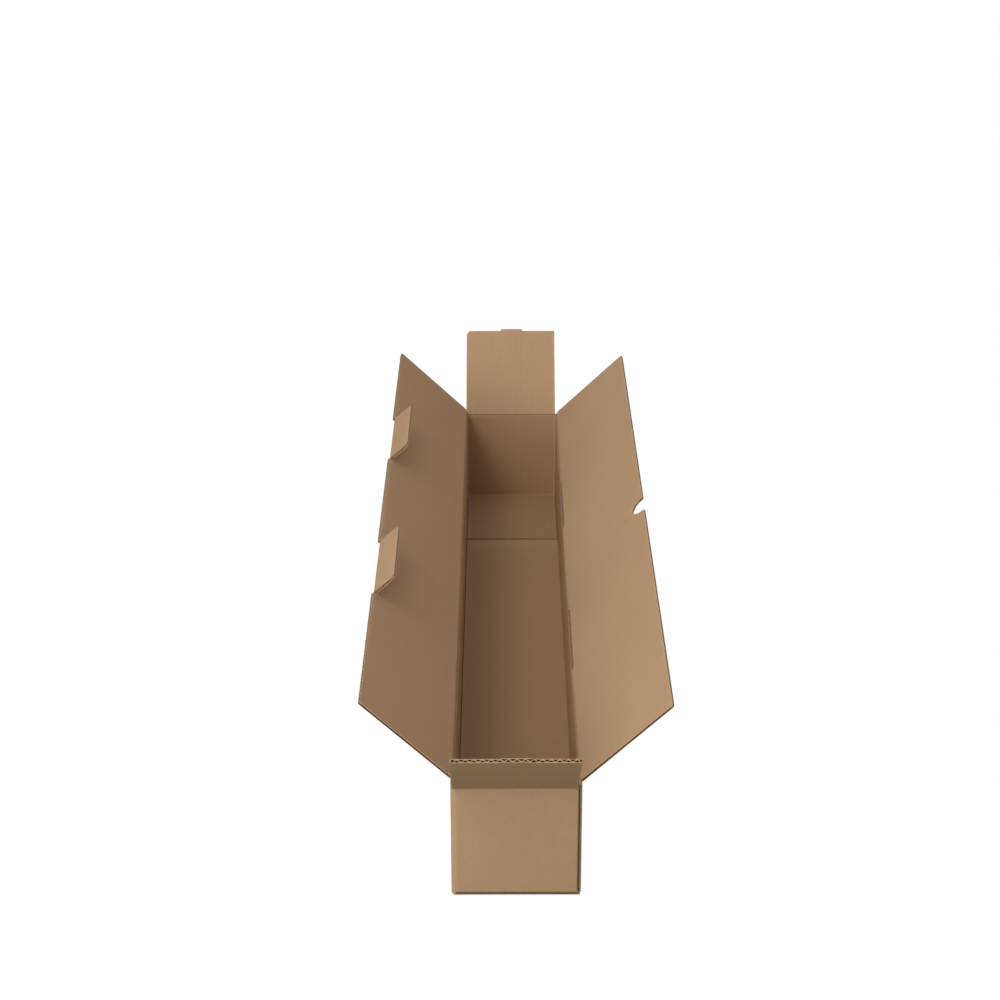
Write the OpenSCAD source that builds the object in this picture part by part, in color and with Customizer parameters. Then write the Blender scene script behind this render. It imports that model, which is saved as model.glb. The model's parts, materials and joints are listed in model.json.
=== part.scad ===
// Long slotted shipping box of single-wall corrugated board, opened from above.
// One folded sheet: the walls and the closed bottom are one node, and each top flap that turns is a node.

/* [Box] */
// Length inside the box
inner_l = 800; // [600:10:1200]
// Width inside the box
inner_w = 100; // [90:1:140]
// Height inside the box, from the floor to the closed short flaps
inner_h = 96; // [70:1:160]
// Thickness of the board
board_t = 3; // [2.5:0.1:4]

/* [Folds] */
// Inside radius of a fold
fold_r = 0.5; // [0.4:0.1:1.2]
// Height of the crushed crease between a wall and its flap
crease_gap = 0.7; // [0.6:0.1:0.9]
// Air between closed flaps that lie on each other
sheet_gap = 0.3; // [0.3:0.1:1]

/* [Flaps] */
// Angle of the left flap out from upright
left_angle = 46.4; // [0:0.1:110]
// Angle of the right flap out from upright
right_angle = 46.2; // [0:0.1:110]
// Angle of the rear flap out from upright
rear_angle = 41.8; // [0:0.1:110]
// Angle of the front flap out from upright
front_angle = 47.4; // [0:0.1:110]
// Air between the right flap's free edge and the left wall when it is closed
edge_gap = 1; // [0.6:0.1:4]
// Length of the cut corner of the rear flap along its free edge
ear_cut_w = 3.4; // [1:0.1:10]
// Depth of the cut corner of the rear flap
ear_cut_d = 4.5; // [1:0.1:10]

/* [Lock tabs] */
// Length of a lock tab along its crease
tab_l = 105; // [60:1:108]
// Depth of a lock tab from its crease
tab_d = 24.5; // [15:0.5:25]
// Angle that a lock tab is folded from the plane of the left flap
tab_fold = 94; // [94:0.5:100]
// Distance of a lock tab's middle from the middle of the box
tab_y = 150; // [120:1:220]
// Air between a lock tab's crease and the right wall when the box is closed
tab_gap = 1.7; // [1.7:0.1:3]
// Step from the left flap's free edge in to the crease of a lock tab
tab_step = 0.5; // [0.3:0.1:3]
// Relief cut at each end of a lock tab's crease
tab_relief = 1; // [0.5:0.1:3]
// Radius of a lock tab's free corners
tab_corner_r = 4; // [1:0.5:8]

/* [Slits] */
// Length of a slit at the right flap's crease
slit_l = 117; // [112:1:140]
// Air between a lock tab and the slit's inner edge
slit_air = 0.5; // [0.4:0.1:2]

/* [Thumb notch] */
// Radius of the thumb notch
notch_r = 14; // [10:0.5:20]
// Place of the thumb notch along the box, from its middle
notch_y = -8; // [-40:1:40]

/* [Tongues] */
// Width of the tongue on a short flap's free edge
tongue_w = 26; // [15:1:40]
// Height of the tongue
tongue_h = 2.3; // [1:0.1:4]
// Slant of each end of the tongue
tongue_slant = 1.5; // [0.5:0.1:4]

/* [Bottom] */
// Length of a short bottom flap from the inside of its wall
bottom_short_l = 120; // [60:1:200]
// Joint between a short bottom flap and the long bottom flap beside it
bottom_joint = 3; // [1:0.5:6]
// Set-back of a long bottom flap's free edge from the wall face that it ends at
bottom_edge = 1; // [0.6:0.1:3]

/* [Glue lap] */
// Width of the glue lap inside the right wall
lap_w = 32; // [20:1:45]
// Distance of the glue lap's ends from the floor and from the crease
lap_inset = 5; // [2:0.5:15]
// Slant of the glue lap's ends
lap_slant = 8; // [2:0.5:15]
// Set-back of the right wall's cut edge from the end of the lap's fold
lap_edge = 0.5; // [0.3:0.1:2]

/* [Hidden] */
$fn = 48;

half_share = 0.5;
quarter_turn = 90;
half_turn = 180;
overrun = 1;
half_l = inner_l * half_share;
half_w = inner_w * half_share;
half_t = board_t * half_share;
bend_r = fold_r + board_t;
straight_l = inner_l - fold_r - fold_r;
straight_w = inner_w - fold_r - fold_r;
front_wall_w = straight_w - board_t;

// Floor and crease heights: each flap that closes later has its crease one sheet higher.
floor_z = board_t + board_t;
short_z = floor_z + inner_h;
crease_step = board_t + sheet_gap;
right_z = short_z + crease_step;
left_z = right_z + crease_step;

// Hinge lines in the middle of the board.
hinge_x = half_w + half_t;
hinge_y = half_l + half_t;

// Depths of the flaps from their hinge lines.
tab_crease_d = inner_w - tab_gap;
left_d = tab_crease_d + half_t + tab_step;
right_d = inner_w + half_t - edge_gap;
short_d = right_d + crease_step;

// The slit reaches from the right wall to past the closed lock tab.
tab_lean = tab_fold - quarter_turn;
tab_drift = (crease_step + half_t) * sin(tab_lean);
slit_d = board_t + tab_gap + board_t + tab_drift + slit_air - half_t;

// Quarter bend of the board, its centre at the origin, in the corner below and to the left of it.
module bend() {
    difference() {
        intersection() {
            circle(r = bend_r);
            translate([-bend_r, -bend_r]) square(bend_r);
        }
        circle(r = fold_r);
    }
}

// Wall and bottom flap in section, the outer corner of the fold at the origin.
module wall_section(wall_h, flap_l) {
    translate([bend_r, bend_r]) bend();
    translate([0, bend_r]) square([board_t, wall_h - half_t - bend_r]);
    translate([half_t, wall_h - half_t]) circle(r = half_t);
    translate([bend_r, 0]) square([flap_l - bend_r, board_t]);
}

// Section set upright, with its wall on the left, run along the box.
module run_along(run_l) {
    rotate([quarter_turn, 0, 0])
        linear_extrude(height = run_l, center = true) children();
}

// Left wall with the outer long bottom flap, which reaches under the right wall.
module left_side() {
    translate([-half_w - board_t, 0, 0])
        run_along(straight_l)
            wall_section(left_z - crease_gap, board_t + inner_w + board_t - bottom_edge);
}

// Right wall with the inner long bottom flap, which lies between the short ones.
module right_side() {
    inner_flap_l = inner_l - 2 * (bottom_short_l + bottom_joint);
    wall_h = right_z - crease_gap - board_t;
    translate([half_w + board_t, 0, board_t])
        mirror([1, 0, 0]) {
            run_along(inner_flap_l)
                wall_section(wall_h, inner_w + board_t - bottom_edge);
            difference() {
                translate([0, lap_edge * half_share, 0])
                    run_along(straight_l - lap_edge) {
                        square([board_t, wall_h - half_t]);
                        translate([half_t, wall_h - half_t]) circle(r = half_t);
                    }
                run_along(inner_flap_l)
                    translate([-overrun, -overrun])
                        square([board_t + overrun + overrun, bend_r + overrun]);
            }
        }
}

// End wall with its short bottom flap, the wall at the front and centred on the box.
module end_side(wall_w) {
    rotate([0, 0, quarter_turn])
        translate([-half_l - board_t, 0, board_t])
            run_along(wall_w)
                wall_section(short_z - crease_gap - board_t, board_t + bottom_short_l);
}

// Upright corner fold, its centre at the origin, between the bottom folds and the rounded tops.
module corner_fold() {
    foot_z = board_t + bend_r;
    translate([0, 0, foot_z])
        linear_extrude(height = short_z - crease_gap - half_t - foot_z) bend();
}

// Lap that the front wall carries round into the box, glued to the right wall.
module glue_lap() {
    foot_z = floor_z + lap_inset;
    head_z = short_z - crease_gap - lap_inset;
    lap_l = lap_w - fold_r;
    translate([half_w - board_t, fold_r - half_l, 0])
        rotate([quarter_turn, 0, quarter_turn])
            linear_extrude(height = board_t)
                polygon([
                    [0, foot_z],
                    [lap_l, foot_z + lap_slant],
                    [lap_l, head_z - lap_slant],
                    [0, head_z]
                ]);
}

module box_body() {
    color("burlywood") {
        left_side();
        right_side();
        translate([-half_t, 0, 0]) end_side(front_wall_w);
        rotate([0, 0, half_turn]) end_side(straight_w);
        translate([fold_r - half_w, fold_r - half_l, 0]) corner_fold();
        translate([fold_r - half_w, half_l - fold_r, 0]) mirror([0, 1, 0]) corner_fold();
        translate([half_w - fold_r, half_l - fold_r, 0])
            mirror([1, 0, 0]) mirror([0, 1, 0]) corner_fold();
        translate([half_w - board_t - fold_r, fold_r - half_l, 0])
            mirror([1, 0, 0]) corner_fold();
        glue_lap();
    }
}

// Flap laid flat, its hinge line along X, is set on its hinge and leaned out.
module hang_flap(turn, out, height, angle) {
    rotate([0, 0, turn])
        translate([0, out, height + half_t])
            rotate([quarter_turn - angle, 0, 0]) children();
}

module bead(bead_l) {
    rotate([0, quarter_turn, 0])
        cylinder(r = half_t, h = bead_l, center = true);
}

module sheet() {
    linear_extrude(height = board_t, center = true) children();
}

// Plain flap from its hinge line outward.
module flap_outline(flap_l, flap_d) {
    translate([-flap_l * half_share, 0]) square([flap_l, flap_d]);
}

module tab_outline() {
    straight_tab_l = tab_l - tab_corner_r - tab_corner_r;
    straight_tab_d = tab_d - tab_corner_r;
    translate([-tab_l * half_share, 0]) square([tab_l, straight_tab_d]);
    translate([-straight_tab_l * half_share, 0]) square([straight_tab_l, tab_d]);
    for (side = [-1, 1])
        translate([side * straight_tab_l * half_share, straight_tab_d]) circle(r = tab_corner_r);
}

// Lock tab on the left flap, turned in about its own crease.
module lock_tab() {
    translate([0, tab_crease_d, 0]) {
        bead(tab_l);
        rotate([tab_fold, 0, 0]) sheet() tab_outline();
    }
}

module left_flap() {
    seat_l = tab_l + tab_relief + tab_relief;
    seat_d = left_d - tab_crease_d + overrun;
    color("tan")
        hang_flap(quarter_turn, hinge_x, left_z, left_angle) {
            bead(straight_l);
            sheet()
                difference() {
                    flap_outline(straight_l, left_d);
                    for (side = [-1, 1])
                        translate([side * tab_y - seat_l * half_share, tab_crease_d])
                            square([seat_l, seat_d]);
                }
            for (side = [-1, 1])
                translate([side * tab_y, 0, 0]) lock_tab();
        }
}

module right_flap() {
    cut_d = slit_d + board_t;
    cut_h = board_t + overrun + overrun;
    color("tan")
        hang_flap(-quarter_turn, hinge_x, right_z, right_angle)
            difference() {
                union() {
                    bead(straight_l);
                    sheet() flap_outline(straight_l, right_d);
                }
                for (side = [-1, 1])
                    translate([side * tab_y - slit_l * half_share, -board_t, -cut_h * half_share])
                        cube([slit_l, cut_d, cut_h]);
                translate([-notch_y, right_d, 0])
                    cylinder(r = notch_r, h = cut_h, center = true);
            }
}

// Short flap with the tongue in the middle of its free edge.
module short_outline() {
    tongue_foot = tongue_w * half_share;
    tongue_head = tongue_foot - tongue_slant;
    flap_outline(straight_w, short_d);
    polygon([
        [-tongue_foot, short_d - overrun],
        [-tongue_foot, short_d],
        [-tongue_head, short_d + tongue_h],
        [tongue_head, short_d + tongue_h],
        [tongue_foot, short_d],
        [tongue_foot, short_d - overrun]
    ]);
}

module rear_flap() {
    edge_x = -straight_w * half_share;
    color("tan")
        hang_flap(0, hinge_y, short_z, rear_angle) {
            bead(straight_w);
            sheet()
                difference() {
                    short_outline();
                    polygon([
                        [edge_x - overrun, short_d - ear_cut_d],
                        [edge_x, short_d - ear_cut_d],
                        [edge_x + ear_cut_w, short_d],
                        [edge_x + ear_cut_w, short_d + overrun],
                        [edge_x - overrun, short_d + overrun]
                    ]);
                }
        }
}

module front_flap() {
    color("tan")
        hang_flap(half_turn, hinge_y, short_z, front_angle) {
            bead(straight_w);
            sheet() short_outline();
        }
}

box_body();
left_flap();
right_flap();
rear_flap();
front_flap();
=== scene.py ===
"""Dresses a long shipping box of board: liners, fluting, crushed creases, kraft paper and a pale stage."""

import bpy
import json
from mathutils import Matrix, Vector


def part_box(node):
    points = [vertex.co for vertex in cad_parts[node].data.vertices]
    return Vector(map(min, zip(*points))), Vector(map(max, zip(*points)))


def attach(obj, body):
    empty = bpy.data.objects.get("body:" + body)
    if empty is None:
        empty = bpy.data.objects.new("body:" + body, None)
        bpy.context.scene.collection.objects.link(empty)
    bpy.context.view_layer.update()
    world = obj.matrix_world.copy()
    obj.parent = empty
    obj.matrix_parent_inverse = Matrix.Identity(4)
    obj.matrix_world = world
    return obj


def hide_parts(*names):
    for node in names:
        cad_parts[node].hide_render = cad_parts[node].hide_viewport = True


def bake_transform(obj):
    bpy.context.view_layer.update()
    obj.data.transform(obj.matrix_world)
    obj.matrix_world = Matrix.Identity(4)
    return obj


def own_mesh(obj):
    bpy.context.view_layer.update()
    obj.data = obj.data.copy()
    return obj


bl_info = {
    "name": "Corrugated Shipping Box",
    "version": (1, 0, 0),
    "blender": (4, 5, 0),
    "location": "View3D > Sidebar > Box",
    "description": "Builds a long box of corrugated board with open top flaps on its packed frame",
    "category": "Add Mesh",
}

import json
import math

import bmesh
import bpy
import numpy as np
from bpy.props import FloatProperty, FloatVectorProperty, IntProperty, PointerProperty
from mathutils import Matrix, Vector

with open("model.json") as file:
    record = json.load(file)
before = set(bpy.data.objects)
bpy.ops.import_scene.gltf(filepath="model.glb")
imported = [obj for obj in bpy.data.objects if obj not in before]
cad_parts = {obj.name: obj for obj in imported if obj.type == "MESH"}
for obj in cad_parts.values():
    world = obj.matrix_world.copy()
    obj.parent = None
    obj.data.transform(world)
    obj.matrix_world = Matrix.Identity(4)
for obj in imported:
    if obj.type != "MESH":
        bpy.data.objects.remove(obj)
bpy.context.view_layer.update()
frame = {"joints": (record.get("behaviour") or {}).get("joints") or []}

# The hinges give the middle of each wall, the height of each crease and how far each flap leans out.
HINGES = {joint["child"]: joint for joint in frame["joints"]}
HINGE_X = HINGES["right_flap"]["pos_m"][0]
HINGE_Y = HINGES["rear_flap"]["pos_m"][1]
HALF_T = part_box("box_body")[1].x - HINGE_X
QUARTER = math.radians(90)
UP = Vector((0, 0, 1))

# Distances that count as none, and within which the papers of two panels merge.
EPS = 1e-6
MERGE_GAP = 1e-5
SMOOTH_ANGLE = math.radians(35)

# Points along each slope beside a crease, round a lock tab's corner and round the thumb notch.
CREASE_POINTS = 4
ROUND_POINTS = 8
NOTCH_POINTS = 25

# Largest part of a narrow panel that its fluting leaves free at each end.
NARROW_SHARE = 0.25
# Power that squares up the arc of the lapped corner.
LAP_SQUARE = 0.3


def setting(kind, **limits):
    """A function that makes one kind of setting from its name, its default and its description."""
    def make(name, default, description):
        return kind(name=name, default=default, description=description, **limits)

    return make


length = setting(FloatProperty, min=0, unit="LENGTH", precision=5)
radians = setting(FloatProperty, subtype="ANGLE")
portion = setting(FloatProperty, min=0, max=1, subtype="FACTOR")
level = setting(FloatProperty, min=0)
watts = setting(FloatProperty, min=0, unit="POWER")
count = setting(IntProperty, min=3)
spot = setting(FloatVectorProperty, subtype="TRANSLATION", unit="LENGTH", precision=5)
colour = setting(FloatVectorProperty, subtype="COLOR", min=0, max=1)


class BoardSettings(bpy.types.PropertyGroup):
    """Make-up and colours of the board."""

    liner_t: length("Liner", 0.00036, "Thickness of a liner")
    fluting_t: length("Fluting", 0.0006, "Thickness of the fluted paper, which is frayed at its cut edges")
    pitch: length("Flute pitch", 0.0065, "Length of one wave of the fluting")
    wave_steps: count("Wave steps", 10, "Faces in one wave of the fluting")
    fold_r: length("Fold radius", 0.0005, "Inside radius of a fold")
    fold_steps: count("Fold steps", 8, "Faces round a quarter fold")
    crease_half: length("Crease", 0.0006, "Half the width of the crushed strip along a crease")
    inner_reach: length("Inner reach", 0.0016, "Distance from a crease where the inner face is flat again")
    outer_reach: length("Outer reach", 0.0027, "Distance from a crease where the outer face is flat again")
    crushed_in: length("Inner crush", 0.00035, "Distance of a crease's inner face from its middle")
    crushed_out: length("Outer crush", 0.00037, "Distance of a crease's outer face from its middle")
    crease_gap: length("Crease gap", 0.0007, "Height of the crease between a wall and its flap")
    flute_inset: length("Flute inset", 0.0015, "Distance of the fluting from an edge cut along the flutes")
    edge_crush: portion("Edge crush", 0.25, "Part of the thickness that the knife takes at a free edge")
    end_press: length("End press", 0.0008, "Depth that a cut along the flutes presses the outer face in by")
    wear_w: length("Wear", 0.004, "Width of the worn strip along a cut edge")
    corner_wear: portion("Corner wear", 0.5, "How worn the board is round a corner fold")
    bottom_wear: portion("Bottom wear", 0.6, "How worn the board is round a fold to the bottom")
    liner_colour: colour("Liner", (0.43, 0.275, 0.158), "Colour of the kraft liners")
    worn_colour: colour("Worn liner", (0.50, 0.345, 0.215), "Colour of the liners along folds and edges")
    cut_colour: colour("Cut edge", (0.54, 0.39, 0.25), "Colour of the liners' cut edges")
    # Painted shade: the inner liner along a crease is darkened to this colour, standing in for the shade in
    # the crease's groove.
    crease_shade_colour: colour("Score", (0.32, 0.20, 0.11), "Colour of the liners along an inner crease")
    fluting_colour: colour("Fluting", (0.42, 0.285, 0.175), "Colour of the fluted paper")


class BoxSettings(bpy.types.PropertyGroup):
    """Sizes of the flaps, the lock tabs, the slits and the bottom."""

    left_d: length("Left flap", 0.1003, "Depth of the left flap from its hinge")
    right_d: length("Right flap", 0.1005, "Depth of the right flap from its hinge")
    short_d: length("Short flaps", 0.1038, "Depth of a short flap from its hinge")
    ear_w: length("Ear cut width", 0.0034, "Length of the rear flap's cut corner along its free edge")
    ear_d: length("Ear cut depth", 0.0045, "Depth of the rear flap's cut corner")
    tab_l: length("Tab length", 0.105, "Length of a lock tab along its crease")
    tab_d: length("Tab depth", 0.0245, "Depth of a lock tab from its crease")
    tab_fold: radians("Tab fold", math.radians(94), "Angle that a lock tab is folded")
    tab_y: length("Tab place", 0.15, "Distance of a lock tab's middle from the middle of the box")
    tab_crease: length("Tab crease", 0.0983, "Distance of a lock tab's crease from the left hinge")
    tab_relief: length("Tab relief", 0.001, "Relief cut at each end of a lock tab's crease")
    tab_round: length("Tab corner", 0.0055, "Radius of a lock tab's free corners")
    slit_l: length("Slit length", 0.117, "Length of a slit at the right crease")
    slit_d: length("Slit depth", 0.00703, "Distance from the right hinge that a lock tab opens a slit to")
    lip_wear: length("Slit wear", 0.0012, "Width of the worn strip along a slit's edge")
    lip_bevel: length("Slit bevel", 0.00045, "Half the slant of a slit's edge through the board")
    slit_gap: length("Slit edge", 0.00115, "Distance of an empty slit's edge from the right hinge")
    notch_r: length("Notch radius", 0.014, "Radius of the thumb notch")
    notch_u: length("Notch place", 0.008, "Distance of the thumb notch from the middle, towards the front")
    tongue_w: length("Tongue width", 0.026, "Width of the tongue on a short flap's free edge")
    tongue_h: length("Tongue height", 0.0023, "Height of the tongue")
    tongue_slant: length("Tongue slant", 0.0015, "Slant of each end of the tongue")
    soft_end: length("Soft end", 0.0021, "Width of a short flap's left end, which gives way when it turns")
    end_foot: length("Soft end foot", 0.0024, "Distance of the soft end from the hinge")
    end_air: length("Flap air", 0.0001, "Air between a flap and the board at its ends")
    end_crush: length("End crush", 0.0012, "Depth that the inner face of a soft end is crushed by")
    corner_rise: length("Corner rise", 0.0018, "Height of a corner fold above the crease of its short wall")
    bottom_short: length("Short bottom", 0.12, "Length of a short bottom flap from the inside of its wall")
    bottom_joint: length("Floor joint", 0.003, "Joint between a short bottom flap and the right one")
    bottom_edge: length("Bottom edge", 0.0006, "Set-back of a long bottom flap's free edge")
    lap_edge: length("Lap edge", 0.0015, "Reach of the right wall's free edge over the lapped corner")
    lap_w: length("Glue lap", 0.032, "Width of the glue lap inside the right wall")
    lap_inset: length("Lap inset", 0.005, "Distance of the lap's ends from the floor and the crease")
    lap_slant: length("Lap slant", 0.008, "Slant of the lap's ends")


class StageSettings(bpy.types.PropertyGroup):
    """Camera, light and floor."""

    eye: spot("Camera", (-0.01069, -1.89252, 1.01858), "Place of the camera")
    pitch: radians("Pitch", math.radians(23.974), "Angle that the camera looks down")
    yaw: radians("Yaw", math.radians(0.0715), "Angle that the camera looks to the left")
    roll: radians("Roll", math.radians(-0.1315), "Angle that the camera is rolled")
    focal_share: level("Focal length", 2.16552, "Focal length as a share of the image's width")
    key_place: spot("Key light", (-1.06, -3.11, 1.20), "Place of the key light")
    key_power: watts("Key power", 47, "Power of the key light")
    side_place: spot("Side light", (-2.99, -1.23, 1.34), "Place of the side light")
    side_power: watts("Side power", 22, "Power of the side light")
    top_place: spot("Top light", (-1.26, -1.40, 2.94), "Place of the top light")
    top_power: watts("Top power", 21, "Power of the top light")
    lamp_size: length("Lamps", 1.5, "Width of each light")
    aim_z: length("Aim", 0.08, "Height on the box that the lights are turned to")
    fill_level: level("Fill", 0.54, "Level of the even light from all round")
    floor_size: length("Floor", 16, "Length of each side of the floor")
    floor_grey: portion("Floor grey", 0.24, "Colour of the floor that takes the shadow")
    floor_glow: level("Floor glow", 1.13, "Level of the white that the camera sees the floor in")
    floor_white: portion("Floor white", 0.88, "Part of the floor's look that is its white")


def pick(*pieces):
    """Makes these pieces the only ones that operators act on, the first of them the active one."""
    bpy.ops.object.select_all(action="DESELECT")
    for piece in pieces:
        piece.select_set(True)
    bpy.context.view_layer.objects.active = pieces[0]


def lay_sheet(u_span, v_span, u_lines=(), v_lines=(), cut=None, columns=1):
    """A flat sheet with lines across it that split its faces, less the faces that cut takes away."""
    bpy.ops.object.select_all(action="DESELECT")
    bpy.ops.mesh.primitive_grid_add(x_subdivisions=columns, y_subdivisions=1, size=1)
    sheet = bpy.context.object
    sheet.scale = (u_span[1] - u_span[0], v_span[1] - v_span[0], 1)
    sheet.location = ((u_span[0] + u_span[1]) / 2, (v_span[0] + v_span[1]) / 2, 0)
    bpy.ops.object.transform_apply(location=True, rotation=True, scale=True)
    bpy.ops.object.mode_set(mode="EDIT")
    for normal, span, lines in (((1, 0, 0), u_span, u_lines), ((0, 1, 0), v_span, v_lines)):
        for line in sorted(set(lines)):
            if span[0] + EPS < line < span[1] - EPS:
                bpy.ops.mesh.select_all(action="SELECT")
                bpy.ops.mesh.bisect(plane_co=[line * n for n in normal], plane_no=normal, threshold=EPS)
    if cut:
        bpy.ops.mesh.select_mode(type="FACE")
        bpy.ops.mesh.select_all(action="DESELECT")
        shell = bmesh.from_edit_mesh(sheet.data)
        for face in shell.faces:
            middle = face.calc_center_bounds()
            face.select_set(bool(cut(middle.x, middle.y)))
        bmesh.update_edit_mesh(sheet.data)
        bpy.ops.mesh.delete(type="FACE")
        bpy.ops.mesh.select_mode(type="VERT")
    bpy.ops.object.mode_set(mode="OBJECT")
    return sheet


def set_sheet(sheet, place, offset, towards=1, free_edge=None, fold_wear=None, unworn=None, score=None,
              crush=0):
    """Folds a flat sheet into its place, at an offset from the middle of the board.

    Its flat place is kept as its UV map, and how worn it is and how much painted crease shade it takes as
    attributes. towards is 1 where the sheet's good side is the inner side of the board, and -1 where it is
    the outer one. unworn marks the edges that meet another sheet. crush is the share of the offset that is
    lost at the free edge.
    """
    board = bpy.context.scene.kraft_board
    mesh = sheet.data
    flat = np.empty(len(mesh.vertices) * 3)
    mesh.vertices.foreach_get("co", flat)
    u, v = flat.reshape(-1, 3)[:, 0], flat.reshape(-1, 3)[:, 1]
    shell = bmesh.new()
    shell.from_mesh(mesh)
    wear = np.array([float(point.is_boundary) for point in shell.verts])
    shell.free()
    if fold_wear:
        wear = np.maximum(wear, fold_wear(u, v))
    if unworn:
        wear = np.where(unworn(u, v), 0, wear)
    depth = v.max()
    keep = np.where(v > depth - EPS, 1 - crush, 1)
    if free_edge:
        v = v + np.where(v > depth - board.wear_w - EPS, free_edge(u) - depth, 0)
    w = offset(u, v) * keep
    points = place(u, v, w)
    loops = np.empty(len(mesh.loops), dtype=np.int64)
    mesh.loops.foreach_get("vertex_index", loops)
    mesh.uv_layers.active.data.foreach_set("uv", np.stack([u, v], 1)[loops].ravel())
    mesh.attributes.new("wear", "FLOAT", "POINT").data.foreach_set("value", wear)
    crease_shaded = score(u, v) if score else np.zeros_like(u)
    mesh.attributes.new("score", "FLOAT", "POINT").data.foreach_set("value", crease_shaded)
    mesh.vertices.foreach_set("co", points.ravel())
    mesh.update()
    first = mesh.polygons[0].vertices[0]
    rise = place(u[[first]], v[[first]], w[[first]] + HALF_T)[0] - points[first]
    if mesh.polygons[0].normal.dot(Vector(rise)) * towards < 0:
        pick(sheet)
        bpy.ops.object.mode_set(mode="EDIT")
        bpy.ops.mesh.select_all(action="SELECT")
        bpy.ops.mesh.flip_normals()
        bpy.ops.object.mode_set(mode="OBJECT")
    return sheet


def join(name, pieces, merge=False):
    """One piece made of several."""
    pick(*pieces)
    if len(pieces) > 1:
        bpy.ops.object.join()
    piece = bpy.context.object
    piece.name = piece.data.name = name
    if merge:
        bpy.ops.object.mode_set(mode="EDIT")
        bpy.ops.mesh.select_all(action="SELECT")
        bpy.ops.mesh.remove_doubles(threshold=MERGE_GAP)
        bpy.ops.object.mode_set(mode="OBJECT")
    return piece


def thicken(sheet, thickness, grow, *materials):
    """Gives a sheet its thickness. grow is -1 to grow away from its good side and 0 to grow both ways."""
    for material in materials:
        sheet.data.materials.append(material)
    pick(sheet)
    solid = sheet.modifiers.new("Thickness", "SOLIDIFY")
    solid.thickness = thickness
    solid.offset = grow
    solid.use_even_offset = True
    solid.use_rim = True
    solid.material_offset_rim = len(materials) - 1
    bpy.ops.object.modifier_apply(modifier=solid.name)
    return sheet


def set_down(pieces, matrix):
    """Moves finished panels to their place, which is kept in their meshes."""
    for piece in pieces:
        piece.matrix_world = matrix
        pick(piece)
        bpy.ops.object.transform_apply(location=True, rotation=True, scale=True)
    return pieces


def smooth(piece):
    """Shades a finished piece smooth, apart from its sharp edges."""
    pick(piece)
    bpy.ops.object.shade_smooth_by_angle(angle=SMOOTH_ANGLE)


def dress(piece, body, replaced=()):
    """Smooths a finished piece and fixes it to the body that carries it."""
    smooth(piece)
    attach(piece, body)
    if replaced:
        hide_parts(*replaced)


def mount(name, pieces, child, *replaced):
    """Hangs finished panels on a flap's hinge as one piece."""
    piece = join(name, set_down(pieces, at_rest(child)))
    dress(piece, child, replaced)
    return piece


def press(piece, anchor):
    """Gives a piece a mesh of its own."""
    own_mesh(piece)


def lean_of(child):
    """Angle that a flap leans out from upright at rest."""
    return math.radians(-HINGES[child]["range_deg"][0]) - QUARTER


def hang(child, lean):
    """Matrix that hangs a flat flap on its hinge: X along the hinge, Y to its free edge, Z its inner side."""
    joint = HINGES[child]
    along = -Vector(joint["axis"])
    out = UP.cross(along)
    reach = UP * math.cos(lean) + out * math.sin(lean)
    turned = Matrix((along, reach, along.cross(reach))).transposed()
    return Matrix.Translation(joint["pos_m"]) @ turned.to_4x4()


def at_rest(child):
    """Matrix that hangs a flat flap on its hinge as it leans at rest."""
    return hang(child, lean_of(child))


def ease(share):
    """A share between 0 and 1 that starts and stops softly."""
    share = np.clip(share, 0, 1)
    return share * share * (3 - 2 * share)


def pressed(distance):
    """Offsets of the board's outer and inner faces at a distance from a crease."""
    board = bpy.context.scene.kraft_board

    def face(crushed, reach):
        share = (distance - board.crease_half) / (reach - board.crease_half)
        return crushed + (HALF_T - crushed) * ease(share)

    return -face(board.crushed_out, board.outer_reach), face(board.crushed_in, board.inner_reach)


def pressed_end(faces, half):
    """Faces of board whose outer side is pressed in at both ends by the knife."""
    board = bpy.context.scene.kraft_board

    def ended(u, v):
        outer, inner = faces(u, v)
        share = np.clip(1 - (half - np.abs(u)) / board.wear_w, 0, 1)
        return np.minimum(outer + share * board.end_press, inner - 2 * board.liner_t), inner

    return ended


def whole(u, v):
    """Faces of board that isn't crushed."""
    return np.full_like(u, -HALF_T), np.full_like(u, HALF_T)


def creased(u, v):
    """Faces of a flap, which is crushed along its crease."""
    return pressed(v)


def flat_place(u, v, w):
    """A panel that stays flat."""
    return np.stack([u, v, w], 1)


def at_crease(u, v):
    """Marks a panel's edge at its crease, which meets the crushed strip."""
    return v < bpy.context.scene.kraft_board.crease_half + EPS


def all_round(u, v):
    """Marks every edge of a panel."""
    return np.full(u.shape, True)


def past_slit(u):
    """Distance along the right crease from the nearer end of a slit, below zero within the slit."""
    box = bpy.context.scene.kraft_box
    return np.abs(np.abs(u) - box.tab_y) - box.slit_l / 2


def slit_lines(*steps):
    """Score lines at some steps past each end of both slits."""
    box = bpy.context.scene.kraft_box
    return [side * (box.tab_y + end * (box.slit_l / 2 + step))
            for side in (-1, 1) for end in (-1, 1) for step in steps]


def clear_half(hinge):
    """Half the clear length between two walls at a distance of hinge, less a fold's radius at each."""
    return hinge - HALF_T - bpy.context.scene.kraft_board.fold_r


def crease_lines(middle):
    """Score lines on both sides of a crease, where the board's thickness changes."""
    board = bpy.context.scene.kraft_board
    steps = [*np.linspace(board.crease_half, board.inner_reach, CREASE_POINTS),
             *np.linspace(board.inner_reach, board.outer_reach, CREASE_POINTS)[1:]]
    return [middle + side * step for side in (-1, 1) for step in steps]


def crease_shade_at(distance):
    """Share of painted shade on the inner face at a distance from a crease, where its groove would be in
    shade.
    """
    return np.where(np.abs(distance) < bpy.context.scene.kraft_board.inner_reach - EPS, 1.0, 0.0)


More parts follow.
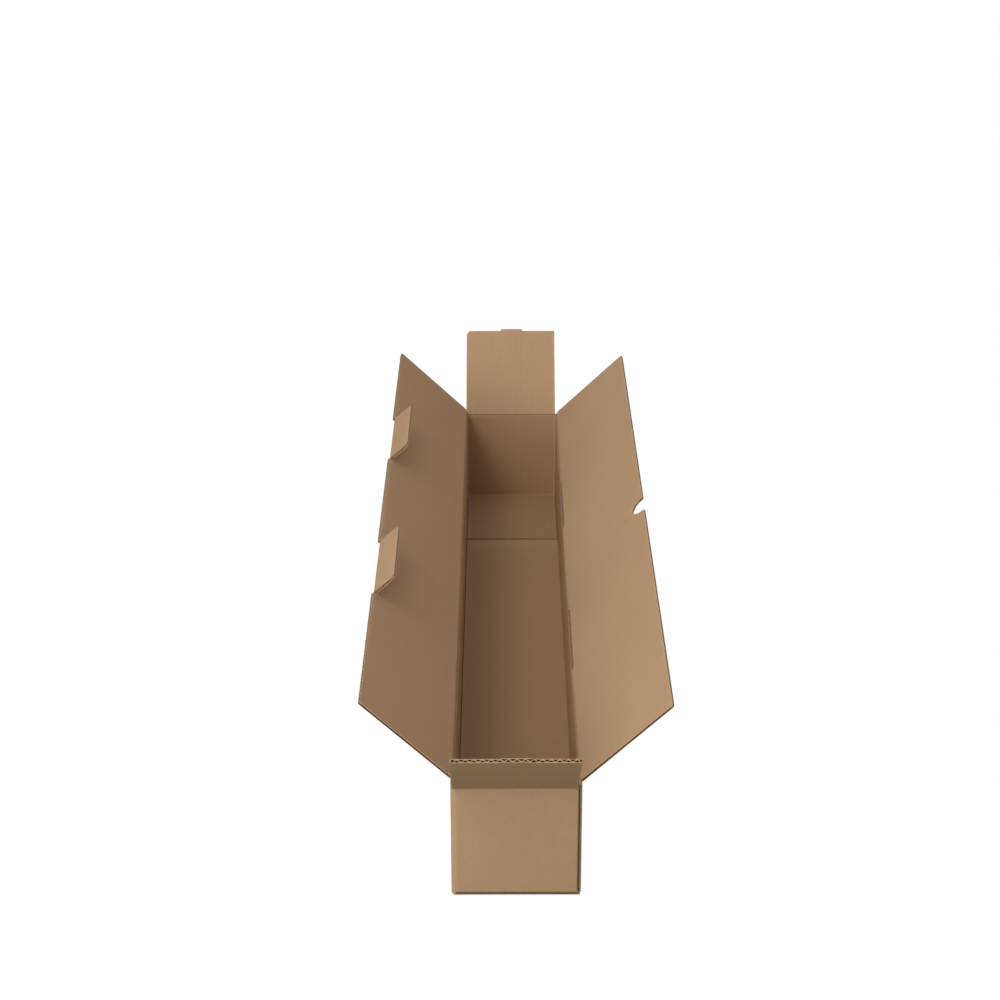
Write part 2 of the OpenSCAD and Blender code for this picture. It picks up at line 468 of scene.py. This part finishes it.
def fluting_offset(faces):
    """Offset of the fluted paper, which waves between the two liners."""
    board = bpy.context.scene.kraft_board

    def offset(u, v):
        outer, inner = faces(u, v)
        swing = np.maximum((inner - outer) / 2 - board.liner_t - board.fluting_t / 2, 0)
        return (outer + inner) / 2 + swing * np.cos(u * (2 * math.pi / board.pitch))

    return offset


def lay_fluting(u_span, v_span, u_lines=(), v_lines=(), cut=None):
    """A flat sheet with the columns that the waves need, short of the edges cut along the flutes."""
    board = bpy.context.scene.kraft_board
    inset = min(board.flute_inset, NARROW_SHARE * (u_span[1] - u_span[0]))
    span = (u_span[0] + inset, u_span[1] - inset)
    columns = max(1, round((span[1] - span[0]) / board.pitch * board.wave_steps))
    return lay_sheet(span, v_span, u_lines, v_lines, cut, columns)


def lay_board(u_span, v_span, faces, place, u_lines=(), v_lines=(), flute_lines=(), cut=None, free_edge=None,
              unworn=None, crushed=True):
    """A panel of board as its three papers: two liners and the fluting between them."""
    board = bpy.context.scene.kraft_board
    liner, cut_edge, fluting = materials()
    crush = board.edge_crush if crushed else 0
    papers = []
    # The inner liner takes painted shade along its crease.
    for side, towards, score in ((0, -1, None), (1, 1, lambda u, v: crease_shade_at(v))):
        sheet = lay_sheet(u_span, v_span, u_lines, v_lines, cut)
        set_sheet(sheet, place, lambda u, v: faces(u, v)[side], towards, free_edge,
                  unworn=unworn, score=score, crush=crush)
        papers.append(thicken(sheet, board.liner_t, -1, liner, cut_edge))
    sheet = lay_fluting(u_span, v_span, u_lines, (*flute_lines, v_span[1] - board.wear_w), cut)
    set_sheet(sheet, place, fluting_offset(faces), free_edge=free_edge, crush=crush)
    papers.append(thicken(sheet, board.fluting_t, 0, fluting))
    return papers


def crease_strip(u_span, angle, cut=None, u_lines=()):
    """Crushed board along a crease that is bent by an angle. The crease is along X, with its wall below."""
    board = bpy.context.scene.kraft_board
    liner, cut_edge, _ = materials()
    half = board.crease_half
    middle = (board.crushed_in - board.crushed_out) / 2

    def place(u, v, w):
        bent = angle * ease((v + half) / (2 * half))
        sine, cosine = np.sin(bent), np.cos(bent)
        return np.stack([u, v * cosine - w * sine, v * sine + w * cosine], 1)

    rows = np.linspace(-half, half, 2 * board.fold_steps + 1)
    sheet = lay_sheet(u_span, (-half, half), u_lines, rows, cut)
    set_sheet(sheet, place, lambda u, v: np.full_like(u, middle), unworn=all_round)
    return thicken(sheet, board.crushed_in + board.crushed_out, 0, liner, cut_edge)


class Wire:
    """A shader value that plain arithmetic can be written with."""

    def __init__(self, tree, socket):
        self.tree, self.socket = tree, socket

    def math(self, operation, other, swapped=False):
        """Adds a Math node on this value and another value or number."""
        node = self.tree.nodes.new("ShaderNodeMath")
        node.operation = operation
        pair = (other, self) if swapped else (self, other)
        for end, value in zip(node.inputs, pair):
            if isinstance(value, Wire):
                self.tree.links.new(value.socket, end)
            elif value is not None:
                end.default_value = value
        return Wire(self.tree, node.outputs[0])

    def __add__(self, other):
        return self.math("ADD", other)

    def __radd__(self, other):
        return self.math("ADD", other, True)

    def __sub__(self, other):
        return self.math("SUBTRACT", other)

    def __rsub__(self, other):
        return self.math("SUBTRACT", other, True)

    def __mul__(self, other):
        return self.math("MULTIPLY", other)

    def __rmul__(self, other):
        return self.math("MULTIPLY", other, True)

    def sine(self):
        """The sine of this value."""
        return self.math("SINE", None)


class Finish:
    """A material or a world that is made node by node."""

    def __init__(self, owner):
        owner.use_nodes = True
        self.tree = owner.node_tree
        self.tree.nodes.clear()

    def node(self, kind, settings=(), out=0, **inputs):
        """Adds a node, sets it up, fills its sockets with values or links, and returns one of its outputs.

        A socket is named with _ for each space, or by its number after a _ where several share a name.
        """
        node = self.tree.nodes.new(kind)
        for name, value in dict(settings).items():
            setattr(node, name, value)
        names = [socket.name.replace(" ", "_") for socket in node.inputs]
        for name, value in inputs.items():
            socket = node.inputs[int(name[1:]) if name[0] == "_" else names.index(name)]
            if isinstance(value, Wire):
                self.tree.links.new(value.socket, socket)
            else:
                socket.default_value = value
        return Wire(self.tree, node.outputs[out]) if node.outputs else node

    def seen(self):
        """1 where the camera sees a surface, also in a mirror or glass, and 0 for light on other things."""
        kinds = ("Is Camera Ray", "Is Glossy Ray", "Is Transmission Ray")
        camera, mirror, glass = (self.node("ShaderNodeLightPath", out=kind) for kind in kinds)
        return (camera + mirror + glass).math("MINIMUM", 1)

    def mix(self, share, first, second, blend="MIX"):
        """Mixes two colours."""
        settings = {"data_type": "RGBA", "blend_type": blend}
        return self.node("ShaderNodeMix", settings, 2, _0=share, _6=first, _7=second)


def rgba(values):
    """A colour with full alpha."""
    return (*values, 1)


WHITE = rgba((1, 1, 1))

# Kraft paper's patterns, in waves to the metre. Pairs are along the crease and out from it.
CLOUD_SCALE = 14
FORMATION_SCALE = 190
FIBRE_SCALES = (260, 1900, 1)
FLECK_SCALES = (330, 700, 1)
FLECK_SHIFT = (3.1, 7.7, 0)

# How far each pattern lightens or darkens the paper, about its middle.
MIDDLE = 0.5
CLOUD_SHARE = 0.06
FORMATION_SHARE = 0.13
FIBRE_SHARE = 0.16
# The flutes' share is painted shade: stripes of light and shade along the ridges that the flutes press into a
# liner.
FLUTE_SHADE_SHARE = 0.008

# Noise at which a fleck starts and is full, how strongly it shows on each paper, and its brightness there.
FLECK_START = 0.66
FLECK_FULL = 0.8
LINER_FLECK_SHARE = 0.35
CUT_FLECK_SHARE = 0.15
FLUTING_FLECK_SHARE = 0.2
FLECK_BRIGHT_SHARE = 0.45

# How much of the worn colour shows, evenly and in patches.
WORN_SHARE = 0.35
PATCHY_SHARE = 0.5

# How rough and uneven the surface is.
ROUGH_SHARE = 0.78
PATCHY_ROUGH_SHARE = 0.16
SHINE_SHARE = 0.06
GRAIN_BUMP_SHARE = 0.5
FLUTE_BUMP_SHARE = 0.25
BUMP_STRENGTH = 0.35
BUMP_DEPTH = 0.00012


def paper(name, base, worn, fleck_share, fluted=False):
    """Kraft paper: clouds, fibres across the flutes, dark flecks, flutes that press through a liner with
    painted shade in stripes along them, and painted shade along inner creases.
    """
    board = bpy.context.scene.kraft_board
    material = bpy.data.materials.new(name)
    finish = Finish(material)
    flat = finish.node("ShaderNodeTexCoord", out="UV")
    place = finish.node("ShaderNodeTexCoord", out="Object")
    strands = finish.node("ShaderNodeMapping", Vector=flat, Scale=FIBRE_SCALES)
    specks = finish.node("ShaderNodeMapping", Vector=flat, Scale=FLECK_SCALES, Location=FLECK_SHIFT)
    noise = "ShaderNodeTexNoise"
    clouds = finish.node(noise, Vector=place, Scale=CLOUD_SCALE, Detail=3, Roughness=0.6)
    formation = finish.node(noise, Vector=place, Scale=FORMATION_SCALE, Detail=4, Roughness=0.65)
    fibres = finish.node(noise, Vector=strands, Scale=1, Detail=3, Roughness=0.6)
    flecks = finish.node(noise, Vector=specks, Scale=1, Detail=2, Roughness=0.5)
    fleck_mask = finish.node("ShaderNodeMapRange", {"interpolation_type": "SMOOTHSTEP"}, Value=flecks,
                             From_Min=FLECK_START, From_Max=FLECK_FULL, To_Min=0, To_Max=1)
    shade = (1 + CLOUD_SHARE * (clouds - MIDDLE) + FORMATION_SHARE * (formation - MIDDLE)
             + FIBRE_SHARE * (fibres - MIDDLE))
    height = GRAIN_BUMP_SHARE * fibres + GRAIN_BUMP_SHARE * formation
    if fluted:
        across = finish.node("ShaderNodeSeparateXYZ", Vector=flat)
        wave = (across * (2 * math.pi / board.pitch)).sine()
        # Painted shade in stripes along the flutes, besides their bump.
        shade = shade + FLUTE_SHADE_SHARE * wave
        height = height + FLUTE_BUMP_SHARE * wave
    grey = finish.node("ShaderNodeCombineColor", Red=shade, Green=shade, Blue=shade)
    wear = finish.node("ShaderNodeAttribute", {"attribute_name": "wear"}, "Fac")
    score = finish.node("ShaderNodeAttribute", {"attribute_name": "score"}, "Fac")
    ragged = wear * wear * (WORN_SHARE + PATCHY_SHARE * formation)
    tone = finish.mix(ragged, rgba(base), rgba(worn))
    # Painted shade darkens the inner face along a crease.
    tone = finish.mix(score, tone, rgba(board.crease_shade_colour))
    tone = finish.mix(1.0, tone, grey, "MULTIPLY")
    tone = finish.mix(fleck_mask * fleck_share, tone, rgba([part * FLECK_BRIGHT_SHARE for part in base]))
    bump = finish.node("ShaderNodeBump", Strength=BUMP_STRENGTH, Distance=BUMP_DEPTH, Height=height)
    rough = ROUGH_SHARE + PATCHY_ROUGH_SHARE * formation
    shader = finish.node("ShaderNodeBsdfPrincipled", Base_Color=tone, Roughness=rough, Normal=bump,
                         Specular_IOR_Level=SHINE_SHARE)
    finish.node("ShaderNodeOutputMaterial", Surface=shader)


def materials():
    """The liner, its cut edge and the fluting, made once."""
    board = bpy.context.scene.kraft_board
    names = ("kraft_liner", "kraft_cut_edge", "kraft_fluting")
    if names[0] not in bpy.data.materials:
        paper(names[0], board.liner_colour, board.worn_colour, LINER_FLECK_SHARE, fluted=True)
        paper(names[1], board.cut_colour, board.worn_colour, CUT_FLECK_SHARE)
        paper(names[2], board.fluting_colour, board.fluting_colour, FLUTING_FLECK_SHARE)
    return [bpy.data.materials[name] for name in names]


class FoldedSheet:
    """The walls, the closed bottom and the glue lap, which are folded from one sheet of board."""

    def __init__(self, board, box):
        self.board, self.box = board, box
        self.liners, self.flutings = {-1: [], 1: []}, []
        self.thick = 2 * HALF_T
        self.bend = board.fold_r + HALF_T
        self.outer_bend = self.bend + HALF_T
        self.arc = self.bend * QUARTER
        self.arc_lines = np.linspace(0, self.arc, board.fold_steps + 1)
        self.turn_x, self.turn_y = HINGE_X - self.bend, HINGE_Y - self.bend
        self.lap_turn_x = self.turn_x - self.thick
        self.tops = {child: joint["pos_m"][2] for child, joint in HINGES.items()}
        self.corner_foot = self.thick + self.outer_bend
        self.corner_top = self.tops["rear_flap"] + box.corner_rise
        self.short_flat = self.tops["rear_flap"] - board.outer_reach
        # The walls and the corner folds have these rows in common, so that their seams merge.
        self.seam_rows = [self.corner_foot, self.corner_foot + board.wear_w, self.outer_bend + board.wear_w,
                          self.short_flat, self.tops["right_flap"] - board.outer_reach, self.corner_top]

    def line(self, u_span, v_span, u_lines, v_lines, place, faces, fold_wear=None, unworn=None, score=None):
        """Lays the outer and the inner liner of one panel."""
        for side, (towards, sheets) in enumerate(self.liners.items()):
            sheet = lay_sheet(u_span, v_span, u_lines, v_lines)
            sheets.append(set_sheet(sheet, place, lambda u, v: faces(u, v)[side], towards, None, fold_wear,
                                    unworn, score if side else None))

    def flute(self, u_span, v_span, place, faces, u_lines=(), v_lines=()):
        """Lays the fluting of one panel."""
        sheet = lay_fluting(u_span, v_span, u_lines, v_lines)
        self.flutings.append(set_sheet(sheet, place, fluting_offset(faces)))

    def worn_fold(self, along, worn):
        """Wear at a distance along the arc of a fold."""
        return np.where((along > EPS) & (along < self.arc - EPS), worn, 0)

    def fold_walls(self):
        """Lays the four walls with their bottom flaps, the left one of which lies under the others."""
        box = self.box
        long_span, short_span = (-self.turn_y, self.turn_y), (-self.turn_x, self.turn_x)
        right_span = (-self.turn_y - box.lap_edge, self.turn_y)
        front_span = (-self.turn_x, self.lap_turn_x)
        floor_half = HINGE_Y - HALF_T - box.bottom_short - box.bottom_joint
        right_floor = (-floor_half, floor_half)
        front_floor = (-self.turn_x, HINGE_X - HALF_T - box.end_air)
        long_flap, short_flap = 2 * HINGE_X - box.bottom_edge, HALF_T + box.bottom_short
        self.fold_wall("left_flap", 0, -1, long_span, 0, long_span, long_flap + HALF_T)
        self.fold_wall("right_flap", 0, 1, right_span, self.thick, right_floor, long_flap - HALF_T)
        self.fold_wall("front_flap", 1, -1, front_span, self.thick, front_floor, short_flap)
        self.fold_wall("rear_flap", 1, 1, short_span, self.thick, short_span, short_flap)

    def fold_wall(self, child, axis, sign, span, low, flap_span, flap_l):
        """Lays the wall below a top flap, with its bottom flap, whose underside is at a height of low.

        axis is the one that the wall stands across, and sign is the wall's side of the box.
        """
        board = self.board
        middle = HINGE_X if axis == 0 else HINGE_Y
        crease = self.tops[child]
        foot, head = low + self.outer_bend, crease - board.crease_half
        flap_end = self.arc + flap_l - self.bend
        right = child == "right_flap"
        lap_end = span[1] if child == "front_flap" else np.inf

        def stand(u, out, z):
            across = sign * (middle + out)
            return np.stack([across, u, z] if axis == 0 else [u, across, z], 1)

        def wall_place(u, v, w):
            return stand(u, -w, v)

        def bottom_place(u, v, w):
            turn = np.clip(v / self.bend, 0, QUARTER)
            rest = np.maximum(v - self.arc, 0)
            return stand(u, (self.bend - w) * np.cos(turn) - self.bend - rest,
                         foot - (self.bend - w) * np.sin(turn))

        def wall_faces(u, v):
            outer, inner = pressed(crease - v)
            if right:
                share = np.clip(1 + past_slit(u) / board.crease_half, 0, 1)
                outer, inner = (outer + HALF_T) * share - HALF_T, (inner - HALF_T) * share + HALF_T
            return outer, inner

        def at_slit(u):
            return right & (past_slit(u) < EPS)

        def joined(u, v):
            return (v > head - EPS) & ~at_slit(u) | (u > lap_end - EPS)

        # Painted shade along the wall's inner face below its crease, but not at the slits.
        def score(u, v):
            return crease_shade_at(crease - v) * ~at_slit(u)

        def bottom_wear(u, v):
            return self.worn_fold(v, board.bottom_wear)

        u_lines = [span[0] + board.wear_w, span[1] - board.wear_w, *flap_span]
        wall_flutes = span
        if right:
            u_lines += slit_lines(0, -board.crease_half)
            # Its fluting reaches its free edge at the front.
            wall_flutes = (span[0] - board.flute_inset, span[1])
        crease_rows = crease_lines(crease)
        self.line(span, (foot, head), u_lines, [*self.seam_rows, *crease_rows], wall_place, wall_faces,
                  None, joined, score)
        self.line(flap_span, (0, flap_end), u_lines, [*self.arc_lines, flap_end - board.wear_w],
                  bottom_place, whole, bottom_wear)
        if right:
            # Beyond its own bottom flap, the wall stands on the left one, beside the short ones.
            for feet in ((span[0], flap_span[0]), (flap_span[1], span[1])):
                self.line(feet, (low, foot), u_lines, (), wall_place, whole)
                self.flute(feet, (low, foot - board.fluting_t), wall_place, whole)
        self.flute(wall_flutes, (foot, head), wall_place, wall_faces, u_lines, crease_rows)
        self.flute(flap_span, (self.arc, flap_end), bottom_place, whole)

    def fold_corners(self):
        """Lays the three corner folds and the one that the glue lap goes round."""
        left_rise = (self.outer_bend, self.tops["left_flap"] - self.board.outer_reach)
        right_rise = (self.thick, self.tops["right_flap"] - self.board.crease_half)
        lap_rise = (self.corner_foot, self.tops["front_flap"] - self.board.crease_half)
        self.fold_corner(-1, -1, left_rise)
        self.fold_corner(-1, 1, left_rise)
        self.fold_corner(1, 1, right_rise)
        self.fold_corner(1, -1, lap_rise, lapped=True)

    def fold_corner(self, sign_x, sign_y, rise, lapped=False):
        """Lays one corner fold, from its long wall to its short one, with a top that slopes between them.

        The lapped one is squarer, lies behind the right wall's free edge and is pressed along its top.
        """
        front_top = self.tops["front_flap"]
        turn_x = self.lap_turn_x if lapped else self.turn_x
        low_top = self.short_flat if lapped else self.corner_top
        square = LAP_SQUARE if lapped else 1

        def corner_place(u, v, w):
            turn = np.clip(u / self.bend, 0, QUARTER)
            low = np.minimum(v, low_top)
            share = u / self.arc if lapped else 1 - u / self.arc
            z = low + (v - low) * np.sqrt(np.clip(share, 0, 1))
            return np.stack([sign_x * (turn_x + (self.bend - w) * np.abs(np.cos(turn)) ** square),
                             sign_y * (self.turn_y + (self.bend - w) * np.sin(turn) ** square), z], 1)

        def lap_faces(u, v):
            return pressed(front_top - v)

        def corner_wear(u, v):
            return self.worn_fold(u, self.board.corner_wear)

        if lapped:
            self.line((0, self.arc), rise, self.arc_lines, [*self.seam_rows, *crease_lines(front_top)],
                      corner_place, lap_faces, corner_wear, all_round)
        else:
            self.line((0, self.arc), rise, self.arc_lines, self.seam_rows, corner_place, whole, corner_wear)

    def glue_lap(self):
        """Lays the lap that is glued to the inside of the right wall."""
        board, box = self.board, self.box
        start, end = -self.turn_y, -self.turn_y + box.lap_w - board.fold_r
        lap_x = HINGE_X - self.thick
        low = 2 * self.thick + box.lap_inset
        high = self.tops["rear_flap"] - HALF_T - board.crease_gap - box.lap_inset

        def lap_place(u, v, w):
            slant = box.lap_slant * (u - start) / (end - start)
            return np.stack([lap_x - w, u, low + slant + v * (high - low - 2 * slant)], 1)

        self.line((start, end), (0, 1), [end - board.wear_w], (), lap_place, whole)
        self.flute((start, end), (0, 1), lap_place, whole)

    def close(self, name):
        """Gives the papers their thickness and joins them."""
        liner, cut_edge, fluting = materials()
        papers = [thicken(join("liner", sheets, True), self.board.liner_t, -1, liner, cut_edge)
                  for sheets in self.liners.values()]
        papers.append(thicken(join("fluting", self.flutings), self.board.fluting_t, 0, fluting))
        return join(name, papers)


class BoxOperator(bpy.types.Operator):
    """Shared by the operators that make the box."""

    bl_options = {"REGISTER", "UNDO"}

    def execute(self, context):
        self.make(context.scene.kraft_board, context.scene.kraft_box)
        return {"FINISHED"}


class BOX_OT_walls(BoxOperator):
    """Folds the four walls, the closed bottom and the glue lap from one sheet of board"""

    bl_idname = "kraft_box.walls"
    bl_label = "Walls and bottom"

    def make(self, board, box):
        sheet = FoldedSheet(board, box)
        sheet.fold_walls()
        sheet.fold_corners()
        sheet.glue_lap()
        dress(sheet.close("box_walls"), "box_body", ("box_body",))


class BOX_OT_left_flap(BoxOperator):
    """Makes the left flap with its two lock tabs folded up"""

    bl_idname = "kraft_box.left_flap"
    bl_label = "Left flap and lock tabs"

    def make(self, board, box):
        half = clear_half(HINGE_Y) - box.end_air
        seat = box.tab_l / 2 + box.tab_relief
        seat_end = box.tab_crease - board.crease_half

        def cut(u, v):
            return abs(abs(u) - box.tab_y) < seat and v > seat_end

        def faces(u, v):
            near_tab = np.clip((seat - np.abs(np.abs(u) - box.tab_y)) / box.tab_relief, 0, 1)
            outer, inner = pressed(v)
            tab_outer, tab_inner = pressed(np.abs(box.tab_crease - v))
            return (outer + np.maximum(tab_outer - outer, 0) * near_tab,
                    inner + np.minimum(tab_inner - inner, 0) * near_tab)

        u_lines = [board.wear_w - half, half - board.wear_w]
        u_lines += [side * (box.tab_y + end * reach) for side in (-1, 1) for end in (-1, 1)
                    for reach in (seat, box.tab_l / 2)]
        crease_rows = [*crease_lines(0), *crease_lines(box.tab_crease)]
        pieces = lay_board((-half, half), (board.crease_half, box.left_d), pressed_end(faces, half),
                           flat_place, u_lines, [*crease_rows, box.left_d - board.wear_w], crease_rows,
                           cut, unworn=at_crease)
        for side in (-1, 1):
            pieces += self.lock_tab(board, box, side * box.tab_y)
        mount("left_flap_board", pieces, "left_flap", "left_flap")

    def lock_tab(self, board, box, middle):
        """One lock tab with its crease, in the flap's own flat frame."""
        half = box.tab_l / 2
        round_start = half - box.tab_round

        def free_edge(u):
            past = np.maximum(np.abs(u) - round_start, 0)
            return box.tab_d - box.tab_round + np.sqrt(np.maximum(box.tab_round ** 2 - past ** 2, 0))

        rounding = round_start + box.tab_round * np.sin(np.linspace(0, QUARTER, ROUND_POINTS))
        u_lines = [side * line for side in (-1, 1) for line in (*rounding, half - board.wear_w)]
        v_lines = [*crease_lines(0), box.tab_d - board.wear_w]
        tab = lay_board((-half, half), (board.crease_half, box.tab_d), creased, flat_place, u_lines, v_lines,
                        crease_lines(0), free_edge=free_edge, unworn=at_crease)
        root = Matrix.Translation((middle, box.tab_crease, 0))
        set_down(tab, root @ Matrix.Rotation(box.tab_fold, 4, "X"))
        return tab + set_down([crease_strip((-half, half), box.tab_fold)], root)


class BOX_OT_right_flap(BoxOperator):
    """Makes the right flap with its two slits and its thumb notch"""

    bl_idname = "kraft_box.right_flap"
    bl_label = "Right flap"

    def make(self, board, box):
        half = clear_half(HINGE_Y) - box.end_air

        def cut(u, v):
            return past_slit(u) < 0 and v < box.slit_d

        def free_edge(u):
            return box.right_d - np.sqrt(np.maximum(box.notch_r ** 2 - (u - box.notch_u) ** 2, 0))

        def joined(u, v):
            return (past_slit(u) < EPS) & (v < box.slit_d + EPS) | at_crease(u, v)

        notch = box.notch_u - box.notch_r * np.cos(np.linspace(0, 2 * QUARTER, NOTCH_POINTS))
        u_lines = [board.wear_w - half, half - board.wear_w, *slit_lines(0, board.wear_w), *notch]
        v_lines = [*crease_lines(0), box.slit_d, box.slit_d + board.wear_w, box.right_d - board.wear_w]
        pieces = lay_board((-half, half), (board.crease_half, box.right_d), pressed_end(creased, half),
                           flat_place, u_lines, v_lines, [*crease_lines(0), box.slit_d], cut, free_edge,
                           joined)
        mount("right_flap_board", pieces, "right_flap", "right_flap")
        self.slit_lips(box)

    def slit_lips(self, box):
        """The board along each slit that a lock tab presses back when it goes in."""
        def seam(u, v):
            return v > box.slit_gap + EPS

        def slanted(u, v, w):
            return np.stack([u, v + np.where(seam(u, v), 0, box.lip_bevel * w / HALF_T), w], 1)

        lips = []
        for side in (-1, 1):
            middle = side * box.tab_y
            span = (middle - box.slit_l / 2, middle + box.slit_l / 2)
            lips += lay_board(span, (box.slit_gap, box.slit_d), whole, slanted,
                              v_lines=(box.slit_gap + box.lip_wear,), unworn=seam, crushed=False)
        piece = mount("slit_lips", lips, "right_flap")
        place = at_rest("right_flap")
        press(piece, place @ Vector((0, box.slit_d, 0)))


class BOX_OT_short_flaps(BoxOperator):
    """Makes the rear and front flaps, each with a tongue and with a soft left end"""

    bl_idname = "kraft_box.short_flaps"
    bl_label = "Short flaps"

    def make(self, board, box):
        self.short_flap(board, box, "rear_flap", -1, box.ear_d, True)
        self.short_flap(board, box, "front_flap", 1, 0, False)

    def short_flap(self, board, box, child, left, ear, crushed):
        """One short flap. left is the side of its soft end, and ear is the depth of its cut corner.

        crushed says whether the knife crushed its free edge.
        """
        half = clear_half(HINGE_X)
        seat, end = half - box.end_air, half + box.soft_end
        foot = box.tongue_w / 2
        head = foot - box.tongue_slant

        def free_edge(u):
            rise = np.clip((foot - np.abs(u)) / box.tongue_slant, 0, 1) * box.tongue_h
            return box.short_d + rise - np.clip((left * u - end) / box.ear_w + 1, 0, 1) * ear

        def end_faces(u, v):
            share = (np.abs(u) - seat) / (end - seat)
            return np.full_like(u, -HALF_T), HALF_T - share * box.end_crush

        def seam(u, v):
            return (np.abs(u - left * seat) < EPS) | at_crease(u, v)

        u_lines = [side * line for side in (-1, 1) for line in (foot, head, half - board.wear_w)]
        u_lines.append(left * (end - box.ear_w))
        worn_row = box.short_d - board.wear_w
        pieces = lay_board((-seat, seat), (board.crease_half, box.short_d), creased, flat_place, u_lines,
                           [*crease_lines(0), worn_row], crease_lines(0), None, free_edge, seam, crushed)
        mount(child + "_board", pieces, child, child)

        span = sorted((left * seat, left * end))
        pieces = lay_board(span, (box.end_foot, box.short_d), end_faces, flat_place, v_lines=[worn_row],
                           free_edge=free_edge, unworn=seam, crushed=crushed)
        piece = mount(child + "_end", pieces, child)
        place = at_rest(child)
        press(piece, place @ Vector((left * seat, 0, 0)))


class BOX_OT_creases(BoxOperator):
    """Makes the crushed creases that join the flaps to the walls, each bent to its flap's lean at rest"""

    bl_idname = "kraft_box.creases"
    bl_label = "Creases"

    def make(self, board, box):
        self.crease(board, box, "left_flap", HINGE_Y)
        self.crease(board, box, "right_flap", HINGE_Y, lambda u, v: past_slit(u) < 0, slit_lines(0))
        self.crease(board, box, "rear_flap", HINGE_X)
        self.crease(board, box, "front_flap", HINGE_X)

    def crease(self, board, box, child, hinge, cut=None, u_lines=()):
        """One flap's crease, between the walls at a distance of hinge from the middle."""
        half = clear_half(hinge) - box.end_air
        strip = crease_strip((-half, half), -lean_of(child), cut, u_lines)
        set_down([strip], hang(child, 0))
        strip.name = strip.data.name = child.replace("flap", "crease")
        smooth(strip)
        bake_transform(strip)


class BOX_OT_stage(bpy.types.Operator):
    """Sets the camera, the soft light and a pale floor"""

    bl_idname = "kraft_box.stage"
    bl_label = "Stage"

    def execute(self, context):
        stage = context.scene.kraft_stage
        context.scene.view_settings.view_transform = "Standard"
        self.set_camera(context, stage)
        self.set_light(context, stage)
        self.set_floor(context, stage)
        return {"FINISHED"}

    def set_camera(self, context, stage):
        """The camera at the angle of the photograph."""
        bpy.ops.object.camera_add(location=stage.eye)
        camera = context.object
        camera.name = "camera"
        level_ahead = Vector((-math.sin(stage.yaw), math.cos(stage.yaw), 0))
        ahead = level_ahead * math.cos(stage.pitch) - UP * math.sin(stage.pitch)
        right = Vector((math.cos(stage.yaw), math.sin(stage.yaw), 0))
        up = right.cross(ahead)
        rolled = (math.cos(stage.roll) * right + math.sin(stage.roll) * up,
                  math.cos(stage.roll) * up - math.sin(stage.roll) * right)
        camera.rotation_euler = Matrix((*rolled, -ahead)).transposed().to_euler()
        camera.data.lens = stage.focal_share * camera.data.sensor_width
        context.scene.camera = camera

    def set_light(self, context, stage):
        """Three soft lamps, and even light from all round that the camera sees as white."""
        self.set_lamp(context, stage, "key_light", stage.key_place, stage.key_power)
        self.set_lamp(context, stage, "side_light", stage.side_place, stage.side_power)
        self.set_lamp(context, stage, "top_light", stage.top_place, stage.top_power)
        world = bpy.data.worlds.new("studio")
        context.scene.world = world
        finish = Finish(world)
        strength = stage.fill_level + (1 - stage.fill_level) * finish.seen()
        sky = finish.node("ShaderNodeBackground", Color=WHITE, Strength=strength)
        finish.node("ShaderNodeOutputWorld", Surface=sky)

    def set_lamp(self, context, stage, name, place, power):
        """A round soft lamp that is turned to the box."""
        bpy.ops.object.light_add(type="AREA", location=place)
        lamp = context.object
        lamp.name = name
        lamp.rotation_euler = (UP * stage.aim_z - Vector(place)).to_track_quat("-Z", "Y").to_euler()
        lamp.data.shape = "DISK"
        lamp.data.size = stage.lamp_size
        lamp.data.energy = power

    def set_floor(self, context, stage):
        """A pale floor that the camera sees as white, with the box's shadow kept on it."""
        bpy.ops.object.select_all(action="DESELECT")
        bpy.ops.mesh.primitive_plane_add(size=stage.floor_size, location=(0, 0, 0))
        floor = context.object
        floor.name = "floor"
        material = bpy.data.materials.new("pale_floor")
        finish = Finish(material)
        matt = finish.node("ShaderNodeBsdfDiffuse", Color=rgba([stage.floor_grey] * 3))
        white = finish.node("ShaderNodeEmission", Color=WHITE, Strength=stage.floor_glow)
        mixed = finish.node("ShaderNodeMixShader", Fac=stage.floor_white * finish.seen(), _1=matt, _2=white)
        finish.node("ShaderNodeOutputMaterial", Surface=mixed)
        floor.data.materials.append(material)


MAKERS = (BOX_OT_walls, BOX_OT_left_flap, BOX_OT_right_flap, BOX_OT_short_flaps, BOX_OT_creases,
          BOX_OT_stage)


class BOX_PT_panel(bpy.types.Panel):
    """Lists the pieces of the box"""

    bl_idname = "BOX_PT_panel"
    bl_label = "Corrugated box"
    bl_space_type = "VIEW_3D"
    bl_region_type = "UI"
    bl_category = "Box"

    def draw(self, context):
        for maker in MAKERS:
            self.layout.operator(maker.bl_idname)
        for settings in (context.scene.kraft_board, context.scene.kraft_box, context.scene.kraft_stage):
            column = self.layout.column()
            for name in settings.__annotations__:
                column.prop(settings, name)


SETTINGS = {"kraft_board": BoardSettings, "kraft_box": BoxSettings, "kraft_stage": StageSettings}
CLASSES = (*SETTINGS.values(), *MAKERS, BOX_PT_panel)


def register():
    """Registers the classes and their settings."""
    for kind in CLASSES:
        bpy.utils.register_class(kind)
    for name, kind in SETTINGS.items():
        setattr(bpy.types.Scene, name, PointerProperty(type=kind))


def unregister():
    """Takes the classes and their settings away."""
    for name in SETTINGS:
        delattr(bpy.types.Scene, name)
    for kind in reversed(CLASSES):
        bpy.utils.unregister_class(kind)


def main():
    """Makes the pieces in order."""
    register()
    for maker in MAKERS:
        group, name = maker.bl_idname.split(".")
        getattr(getattr(bpy.ops, group), name)()


if __name__ == "__main__":
    main()
